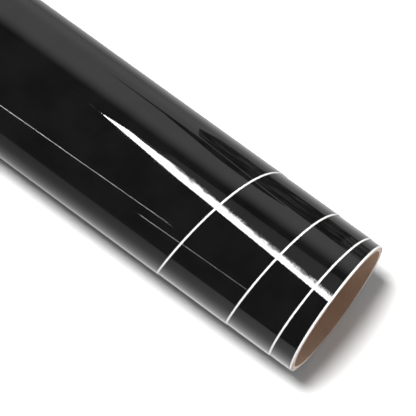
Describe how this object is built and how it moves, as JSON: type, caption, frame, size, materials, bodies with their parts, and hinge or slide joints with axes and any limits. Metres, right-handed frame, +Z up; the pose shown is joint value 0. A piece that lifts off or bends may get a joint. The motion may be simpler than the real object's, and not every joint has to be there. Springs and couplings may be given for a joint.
{
  "type": "roll of sign vinyl",
  "caption": "Roll of gloss black sign vinyl on a white paper liner, wound on a spiral cardboard core and telescoped so the liner edge shows as a helix.",
  "frame": {"origin": "middle of the bounding box in plan, on the surface the roll lies on", "axes": "+X along the roll's axis towards the end whose liner edges show, +Z up, +Y to the side where the tail ends"},
  "size_m": [0.4216, 0.0842, 0.0843],
  "materials": {
    "kraft": "matt brown kraft paper",
    "chipboard": "matt grey-brown chipboard",
    "tape": "double-sided tissue tape",
    "liner": "white clay-coated release paper",
    "film": "gloss black calendered PVC"
  },
  "bodies": {
    "roll": {"core_inner_ply": "kraft", "core_board": "chipboard", "core_outer_ply": "kraft", "core_start_tape": "tape", "liner_start_strip": "liner", "film_start_strip": "film", "liner_flush_turn": "liner", "film_flush_turn": "film"},
    "turn_1": {"liner_half_turn_1": "liner", "film_half_turn_1": "film"},
    "turn_2": {"liner_half_turn_2": "liner", "film_half_turn_2": "film"},
    "turn_3": {"liner_half_turn_3": "liner", "film_half_turn_3": "film"},
    "turn_4": {"liner_half_turn_4": "liner", "film_half_turn_4": "film"},
    "turn_5": {"liner_half_turn_5": "liner", "film_half_turn_5": "film"},
    "turn_6": {"liner_half_turn_6": "liner", "film_half_turn_6": "film"},
    "turn_7": {"liner_half_turn_7": "liner", "film_half_turn_7": "film", "liner_last_strip": "liner", "film_last_strip": "film"},
    "tail": {"liner_tail": "liner", "film_tail": "film"},
    "lip": {"film_lip": "film"}
  },
  "joints": [
    {"name": "turn_slide_1", "type": "slide", "parent": "roll", "child": "turn_1", "axis": [1, 0, 0], "range_m": [0, 0.00138]},
    {"name": "turn_slide_2", "type": "slide", "parent": "turn_1", "child": "turn_2", "axis": [1, 0, 0], "range_m": [0, 0.00927]},
    {"name": "turn_slide_3", "type": "slide", "parent": "turn_2", "child": "turn_3", "axis": [1, 0, 0], "range_m": [0, 0.00809]},
    {"name": "turn_slide_4", "type": "slide", "parent": "turn_3", "child": "turn_4", "axis": [1, 0, 0], "range_m": [0, 0.01672]},
    {"name": "turn_slide_5", "type": "slide", "parent": "turn_4", "child": "turn_5", "axis": [1, 0, 0], "range_m": [0, 0.01633]},
    {"name": "turn_slide_6", "type": "slide", "parent": "turn_5", "child": "turn_6", "axis": [1, 0, 0], "range_m": [0, 0.02573]},
    {"name": "turn_slide_7", "type": "slide", "parent": "turn_6", "child": "turn_7", "axis": [1, 0, 0], "range_m": [0, 0.02611]},
    {"name": "tail_lift", "type": "hinge", "parent": "turn_7", "child": "tail", "pos_m": [0, 0.02008, 0.00479], "axis": [-1, 0, 0], "range_deg": [0, 40], "stiffness_Nm_per_rad": 0.003, "springref_deg": -28.65},
    {"name": "film_peel", "type": "hinge", "parent": "tail", "child": "lip", "pos_m": [0, 0.0329, 0.01528], "axis": [-1, 0, 0], "range_deg": [0, 50], "stiffness_Nm_per_rad": 0.0006, "springref_deg": -22.92}
  ],
  "couplings": [
    {"joint": "turn_slide_1", "follows": "turn_slide_7", "ratio": 0.05297},
    {"joint": "turn_slide_2", "follows": "turn_slide_7", "ratio": 0.35494},
    {"joint": "turn_slide_3", "follows": "turn_slide_7", "ratio": 0.31001},
    {"joint": "turn_slide_4", "follows": "turn_slide_7", "ratio": 0.64043},
    {"joint": "turn_slide_5", "follows": "turn_slide_7", "ratio": 0.62526},
    {"joint": "turn_slide_6", "follows": "turn_slide_7", "ratio": 0.98541}
  ]
}
